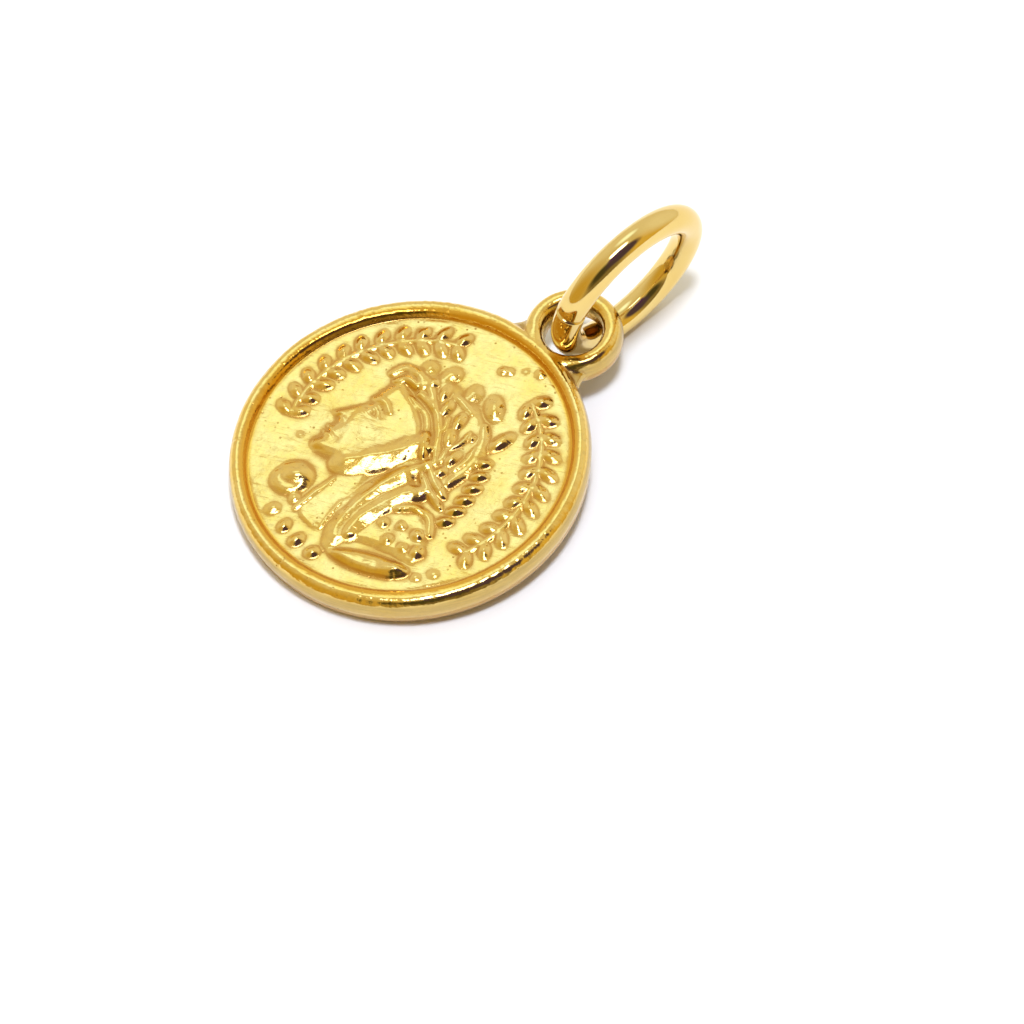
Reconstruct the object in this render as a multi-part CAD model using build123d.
"""Cast coin charm with an eyelet, and the round wire ring that runs through the eyelet.

Millimetres. The charm is drawn lying flat, its face up and its eyelet towards +Y. The ring is put
through the eyelet, and the pair is then tilted until the coin's far edge and the ring's lowest point
stand on one floor. Origin: on that floor, under the middle of the whole.
"""
from build123d import *
import os
from math import asin, cos, degrees, hypot, pi, radians, sin, sqrt

# Coin
coin_diameter = 12.0
coin_thickness = 1.2
rim_width = 0.7
rim_crest_width = 0.36
rim_edge_radius = 0.17
rim_height = 0.26

# Eyelet
eyelet_bore = 1.92
eyelet_wall = 0.7
eyelet_height = 1.14
eyelet_stand_off = 0.04
neck_thickness = 0.86
neck_flare = 0.5
neck_shoulder = 20.0

# Ring of wire
ring_wire = 1.0
ring_bore = 4.47
ring_clearance = 0.03
ring_seam_gap = 0.04
ring_seam_angle = 17.0

# How the ring stands in the eyelet, in degrees
ring_lean = 10.5
ring_yaw = 2.6
ring_perch = 33.0

# Relief
relief_rise = 0.2
relief_root = 0.12
plate_root = 0.03
tip_root = 0.01
leaf_least_spread = 1.3
plate_draft = 40.0

coin_radius = coin_diameter / 2
half_thickness = coin_thickness / 2
field_radius = coin_radius - rim_width
field_level = half_thickness - rim_height
eyelet_radius = (eyelet_bore + eyelet_wall) / 2
eyelet_centre = coin_radius + eyelet_stand_off + eyelet_bore / 2
eyelet_straight = max((eyelet_height - eyelet_wall) / 2, 0.0)
wire_radius = ring_wire / 2
ring_radius = ring_bore / 2 + wire_radius

# The relief's tables. Places, lengths and widths are shares of the field's radius, with +Y towards
# the eyelet, rises are shares of the relief's rise, and angles are degrees from +X.

# Border ornament: the run of sprigs along each arc
BORDER_ARCS = (
    {"first": 204.0, "last": 115.0, "count": 10, "radius": 0.86},
    {"first": 73.0, "last": -25.0, "count": 9, "radius": 0.84},
)

# One sprig: two leaves and a berry, along the rim and outwards from the arc
SPRIG_LEAVES = (
    {"along": 0.03, "out": 0.01, "length": 0.19, "width": 0.07, "turn": 70.0, "rise": 0.9},
    {"along": -0.035, "out": -0.025, "length": 0.14, "width": 0.062, "turn": 112.0, "rise": 0.9},
)
SPRIG_BERRY = {"along": -0.025, "out": 0.075, "radius": 0.026, "rise": 0.7}

BEADS = (
    {"x": -0.04, "y": 0.83, "radius": 0.04, "rise": 0.7},
    {"x": 0.055, "y": 0.9, "radius": 0.028, "rise": 0.5},
    {"x": 0.13, "y": 0.93, "radius": 0.034, "rise": 0.5},
    {"x": 0.775, "y": -0.47, "radius": 0.044, "rise": 0.6},
    {"x": 0.715, "y": -0.565, "radius": 0.04, "rise": 0.6},
    {"x": -0.32, "y": -0.85, "radius": 0.068, "rise": 0.7},
    {"x": -0.185, "y": -0.885, "radius": 0.062, "rise": 0.8},
    {"x": -0.055, "y": -0.9, "radius": 0.062, "rise": 0.8},
    {"x": 0.085, "y": -0.9, "radius": 0.062, "rise": 0.8},
    {"x": 0.475, "y": -0.36, "radius": 0.05, "rise": 0.9},
    {"x": 0.59, "y": -0.44, "radius": 0.045, "rise": 0.9},
    {"x": -0.3, "y": 0.45, "radius": 0.05, "rise": 0.95},
    {"x": 0.19, "y": 0.35, "radius": 0.028, "rise": 1.0},
    {"x": 0.075, "y": 0.115, "radius": 0.03, "rise": 1.0},
    {"x": -0.44, "y": -0.64, "radius": 0.05, "rise": 0.8},
)

# Wreath leaves, the eye and the lips
LEAVES = (
    {"x": -0.395, "y": 0.51, "length": 0.18, "width": 0.14, "turn": 20.0, "rise": 0.95},
    {"x": -0.265, "y": 0.58, "length": 0.2, "width": 0.14, "turn": 65.0, "rise": 1.0},
    {"x": -0.04, "y": 0.58, "length": 0.19, "width": 0.15, "turn": 115.0, "rise": 0.9},
    {"x": 0.13, "y": 0.58, "length": 0.26, "width": 0.16, "turn": 140.0, "rise": 1.0},
    {"x": 0.335, "y": 0.46, "length": 0.26, "width": 0.1, "turn": 80.0, "rise": 1.0},
    {"x": -0.065, "y": 0.38, "length": 0.21, "width": 0.1, "turn": 105.0, "rise": 1.0},
    {"x": 0.05, "y": 0.375, "length": 0.2, "width": 0.09, "turn": 100.0, "rise": 1.0},
    {"x": 0.115, "y": 0.26, "length": 0.2, "width": 0.1, "turn": 125.0, "rise": 1.0},
    {"x": 0.225, "y": 0.17, "length": 0.2, "width": 0.095, "turn": 95.0, "rise": 1.0},
    {"x": 0.24, "y": 0.03, "length": 0.16, "width": 0.08, "turn": 75.0, "rise": 1.0},
    {"x": -0.385, "y": 0.015, "length": 0.11, "width": 0.05, "turn": 5.0, "rise": 0.95},
    {"x": -0.505, "y": -0.245, "length": 0.08, "width": 0.04, "turn": 10.0, "rise": 0.9},
    {"x": -0.495, "y": -0.3, "length": 0.07, "width": 0.04, "turn": 170.0, "rise": 0.9},
)

# Braid down the back of the head: its run, and one knot of it
BRAID_RUN = ((0.39, 0.28), (0.5, 0.02), (0.51, -0.21))
BRAID_KNOT = {"length": 0.13, "width": 0.08, "turn": 55.0, "rise": 1.0}
BRAID_COUNT = 6

# Raised lines, each an arc through three places
RIDGES = (
    {"places": ((-0.38, 0.25), (-0.12, 0.27), (0.13, 0.02)), "width": 0.07, "rise": 0.95},
    {"places": ((0.2, 0.44), (0.33, 0.22), (0.34, 0.0)), "width": 0.05, "rise": 0.85},
    {"places": ((0.02, 0.02), (-0.02, -0.42), (0.14, -0.79)), "width": 0.08, "rise": 0.95},
    {"places": ((0.27, -0.1), (0.115, -0.38), (0.15, -0.67)), "width": 0.1, "rise": 0.9},
    {"places": ((0.21, -0.45), (0.3, -0.235), (0.51, -0.25)), "width": 0.07, "rise": 0.85},
    {"places": ((0.17, -0.79), (0.42, -0.74), (0.64, -0.57)), "width": 0.1, "rise": 0.95},
    {"places": ((-0.22, -0.46), (-0.23, -0.61), (-0.21, -0.76)), "width": 0.04, "rise": 0.6},
    {"places": ((-0.2, -0.765), (-0.11, -0.775), (-0.01, -0.75)), "width": 0.035, "rise": 0.5},
    {"places": ((-0.49, 0.1), (-0.4, 0.125), (-0.31, 0.09)), "width": 0.035, "rise": 0.95},
    {"places": ((-0.48, 0.29), (-0.45, 0.4), (-0.36, 0.37)), "width": 0.06, "rise": 0.9},
    {"places": ((-0.43, 0.1), (-0.49, -0.02), (-0.53, -0.14)), "width": 0.05, "rise": 0.85},
    {"places": ((-0.52, -0.72), (-0.53, -0.57), (-0.39, -0.53)), "width": 0.07, "rise": 0.8},
    {"places": ((-0.42, -0.75), (-0.33, -0.69), (-0.37, -0.6)), "width": 0.06, "rise": 0.8},
)

# Flat raised grounds under the lines: face, hair, neck and shoulder
FACE_PLATE = (
    (-0.44, 0.33), (-0.49, 0.2), (-0.495, 0.09), (-0.46, 0.03), (-0.59, -0.155), (-0.53, -0.195),
    (-0.545, -0.245), (-0.5, -0.27), (-0.53, -0.305), (-0.485, -0.345), (-0.505, -0.405),
    (-0.43, -0.455), (-0.24, -0.41), (-0.03, -0.24), (0.03, 0.1), (-0.17, 0.3),
)
HAIR_PLATE = (
    (-0.45, 0.3), (-0.42, 0.44), (-0.25, 0.53), (0.0, 0.54), (0.21, 0.45), (0.33, 0.22),
    (0.34, -0.06), (0.23, -0.12), (0.1, 0.0), (0.0, 0.17), (-0.17, 0.28),
)
SHOULDER_PLATE = (
    (0.0, -0.08), (0.24, -0.1), (0.5, -0.24), (0.61, -0.42), (0.63, -0.56), (0.42, -0.71),
    (0.16, -0.78), (0.03, -0.72), (-0.02, -0.42),
)
NECK_PLATE = ((-0.22, -0.38), (0.0, -0.2), (0.02, -0.75), (-0.2, -0.765))
PLATES = (
    {"outline": FACE_PLATE, "rise": 0.72},
    {"outline": HAIR_PLATE, "rise": 0.6},
    {"outline": SHOULDER_PLATE, "rise": 0.5},
    {"outline": NECK_PLATE, "rise": 0.32},
)


def on_field(x, y):
    """A place on the coin's recessed face, from shares of its radius."""
    return Vector(x * field_radius, y * field_radius, field_level)


def dome_section(half_width, rise):
    """Half of a low round section on the face, with a root that sits below it, in a plane's X and Y."""
    round_radius = (half_width**2 + rise**2) / (2 * rise)
    half_turn = asin(half_width / round_radius) / 2
    shoulder = (round_radius * sin(half_turn), rise - round_radius + round_radius * cos(half_turn))
    outline = ThreePointArc((0, rise), shoulder, (half_width, 0))
    outline += Polyline((half_width, 0), (half_width, -relief_root), (0, -relief_root), (0, rise))
    return make_face(outline.edges())


def bead(x, y, radius, rise):
    """A low round dome."""
    section = Plane.XZ * dome_section(radius * field_radius, rise * relief_rise)
    return Pos(*on_field(x, y)) * revolve(section, Axis.Z)


def leaf(x, y, length, width, turn, rise):
    """A pointed leaf with a round back, half of a barrel that tapers to the face at both ends."""
    height = rise * relief_rise
    half_width = max(width * field_radius / 2, leaf_least_spread * height)
    half_length = length * field_radius / 2
    girth = (half_width**2 + height**2) / (2 * height)
    tip = girth - height
    outline = ThreePointArc((-half_length, tip), (0, girth), (half_length, tip))
    outline += Polyline((half_length, tip), (half_length, 0), (-half_length, 0), (-half_length, tip))
    half_barrel = revolve(make_face(outline.edges()), Axis.X, revolution_arc=180)
    place = on_field(x, y) - Vector(0, 0, tip + tip_root)
    return Pos(*place) * Rot(Z=turn) * half_barrel


def ridge(places, width, rise):
    """A raised line with a round back and round ends, along an arc through three places."""
    first, middle, last = (on_field(*place) for place in places)
    path = Edge.make_three_point_arc(first, middle, last)
    ahead = path % 0
    half = dome_section(width * field_radius / 2, rise * relief_rise)
    across = Plane(origin=first, x_dir=Vector(0, 0, 1).cross(ahead), z_dir=ahead)
    upright = across.y_dir.Z
    section = across * (half + mirror(half, Plane.YZ))
    body = sweep(section if upright > 0 else Rot(Z=180) * section, path)
    ends = [bead(*place, width / 2, rise) for place in (places[0], places[-1])]
    return [body, *ends]


def plate(outline, rise):
    """A flat raised ground with sloping sides."""
    corners = [on_field(*corner) - Vector(0, 0, plate_root) for corner in outline]
    ground = make_face(Polyline(*corners, close=True)).face()
    if ground.normal_at().Z < 0:
        ground = -ground
    return extrude(ground, amount=plate_root + rise * relief_rise, taper=plate_draft)


def border():
    """The two arcs of leaf and berry ornament inside the rim."""
    solids = []
    for arc in BORDER_ARCS:
        step = (arc["last"] - arc["first"]) / (arc["count"] - 1)
        for number in range(arc["count"]):
            bearing = arc["first"] + number * step
            turned = Rot(Z=bearing - 90.0)
            for row in SPRIG_LEAVES:
                place = {"x": row["along"], "y": arc["radius"] + row["out"]}
                shape = {key: row[key] for key in ("length", "width", "turn", "rise")}
                solids.append(turned * leaf(**place, **shape))
            berry = {"x": SPRIG_BERRY["along"], "y": arc["radius"] + SPRIG_BERRY["out"]}
            solids.append(turned * bead(**berry, radius=SPRIG_BERRY["radius"], rise=SPRIG_BERRY["rise"]))
    return solids


def braid():
    """The knots of the braid, evenly spaced along its run."""
    run = Edge.make_three_point_arc(*(on_field(*place) for place in BRAID_RUN))
    solids = []
    for number in range(BRAID_COUNT):
        share = number / (BRAID_COUNT - 1)
        place = run @ share
        solids.append(leaf(place.X / field_radius, place.Y / field_radius, **BRAID_KNOT))
    return solids


def coin_blank():
    """The disc, turned: a rounded edge, a crest, a slope down to the face, and the same on the back."""
    crest_inside = coin_radius - rim_crest_width
    half = Polyline(
        (0, 0),
        (0, field_level),
        (field_radius, field_level),
        (crest_inside, half_thickness),
        (coin_radius, half_thickness),
        (coin_radius, 0),
        close=True,
    )
    section = make_face(half)
    edge_corner = section.vertices().sort_by(Axis.X)[-2:].sort_by(Axis.Y)[-1]
    section = fillet(edge_corner, rim_edge_radius)
    upper = revolve(Plane.XZ * section, Axis.Z)
    return upper + mirror(upper, Plane.XY)


def eyelet():
    """The eyelet's round-sided band and the short neck that joins it to the coin's edge."""
    band = SlotOverall(eyelet_height, eyelet_wall, rotation=90)
    band = Plane.XZ * Pos(eyelet_radius, 0) * band
    ring = Pos(0, eyelet_centre, 0) * revolve(band, Axis.Z)
    reach = eyelet_radius + eyelet_wall / 2
    foot = reach + neck_flare
    foot_y = sqrt((coin_radius - rim_crest_width) ** 2 - foot**2)
    shoulder = reach * cos(radians(neck_shoulder))
    shoulder_y = eyelet_centre - reach * sin(radians(neck_shoulder))
    corners = ((-foot, foot_y), (foot, foot_y), (shoulder, shoulder_y), (-shoulder, shoulder_y))
    neck = make_face(Polyline(*corners, close=True))
    neck = extrude(neck, amount=neck_thickness / 2, both=True)
    bore = Pos(0, eyelet_centre, 0) * Cylinder(eyelet_radius, eyelet_height)
    inside_rim = Cylinder(coin_radius - rim_crest_width, coin_thickness)
    return ring, neck - bore - inside_rim


def relief():
    """Everything that stands up from the coin's face."""
    shapes = border() + braid()
    shapes += [bead(**row) for row in BEADS]
    shapes += [leaf(**row) for row in LEAVES]
    shapes += [solid for row in RIDGES for solid in ridge(**row)]
    shapes += [plate(**row) for row in PLATES]
    return [solid for shape in shapes for solid in shape.solids()]


def bisect(is_low, low, high):
    """The value between low and high at which is_low stops being true."""
    for _ in range(50):
        middle = (low + high) / 2
        if is_low(middle):
            low = middle
        else:
            high = middle
    return low


def ring_directions():
    """The ring's axis, and two directions in its plane: level towards the coin, and up."""
    lean = radians(ring_lean)
    yaw = radians(ring_yaw)
    axis = Vector(cos(lean) * cos(yaw), cos(lean) * sin(yaw), -sin(lean))
    level = axis.cross(Vector(0, 0, 1)).normalized()
    return axis, level, level.cross(axis)


def eyelet_clearance(centre, underneath):
    """The ring's least distance from the eyelet's band, where it passes under its end or elsewhere."""
    _, level, up = ring_directions()
    nearest = coin_diameter
    for degree in range(360):
        turn = radians(degree)
        spot = centre + level * (ring_radius * cos(turn)) + up * (ring_radius * sin(turn))
        if (spot.Z < 0 and spot.Y > eyelet_centre) == underneath:
            out = hypot(spot.X, spot.Y - eyelet_centre) - eyelet_radius
            past = max(abs(spot.Z) - eyelet_straight, 0.0)
            nearest = min(nearest, hypot(out, past) - eyelet_wall / 2 - wire_radius)
    return nearest


def ring_centre():
    """The ring's centre in the charm's frame: its wire carries the eyelet and leans on the bore's side."""
    perch = radians(ring_perch)

    def centre(side, reach):
        band_end = eyelet_centre + eyelet_radius
        return Vector(side, band_end + reach * sin(perch), reach * cos(perch))

    side = 0.0
    for _ in range(6):
        reach = bisect(
            lambda value: eyelet_clearance(centre(side, value), True) > ring_clearance,
            wire_radius,
            ring_radius,
        )
        in_mid_bore = reach * cos(perch) * sin(radians(ring_lean))
        side = bisect(
            lambda value: eyelet_clearance(centre(value, reach), False) > ring_clearance,
            in_mid_bore,
            in_mid_bore + eyelet_bore,
        )
    return centre(side, reach)


def resting_tilt(centre):
    """The tilt at which the coin's far edge and the ring stand on one floor, and the coin's height."""
    axis, _, _ = ring_directions()

    def supports(tilt):
        down = Vector(0, -sin(tilt), -cos(tilt))
        ring = centre.dot(down) + ring_radius * sqrt(1 - axis.dot(down) ** 2) + wire_radius
        straight_radius = coin_radius - rim_edge_radius
        straight_half = half_thickness - rim_edge_radius
        coin = straight_radius * abs(sin(tilt)) + straight_half * cos(tilt) + rim_edge_radius
        return ring, coin

    def ring_is_lower(tilt):
        ring, coin = supports(tilt)
        return ring > coin

    tilt = bisect(ring_is_lower, 0.0, pi / 4)
    return tilt, supports(tilt)[1]


def ring_solid(centre):
    """The wire ring, with the thin saw cut where its ends meet."""
    axis, level, _ = ring_directions()
    wire = Torus(ring_radius, wire_radius)
    cut = Pos(ring_radius, 0, 0) * Box(2 * ring_wire, ring_seam_gap, 2 * ring_wire)
    wire -= Rot(Z=ring_seam_angle) * cut
    return Plane(origin=centre, x_dir=level, z_dir=-axis).location * wire


def charm_solid():
    """The whole casting: disc, eyelet, neck and relief in one solid."""
    band, neck = eyelet()
    return (coin_blank() + band + neck).fuse(*relief())


def main():
    """Make both pieces, set them on the floor and write one file for each."""
    centre = ring_centre()
    tilt, height = resting_tilt(centre)
    settle = Pos(0, 0, height) * Rot(X=degrees(tilt))
    pieces = {"coin_charm": settle * charm_solid(), "jump_ring": settle * ring_solid(centre)}
    box = Compound(list(pieces.values())).bounding_box()
    middle = box.center()
    os.makedirs("parts", exist_ok=True)
    for name, piece in pieces.items():
        piece = Pos(-middle.X, -middle.Y, -box.min.Z) * piece
        piece.label = name
        export_step(piece, "parts/" + name + ".step")
        print(name, round(piece.volume, 3), piece.bounding_box())
    print("ring centre", centre, "tilt", round(degrees(tilt), 2))


main()
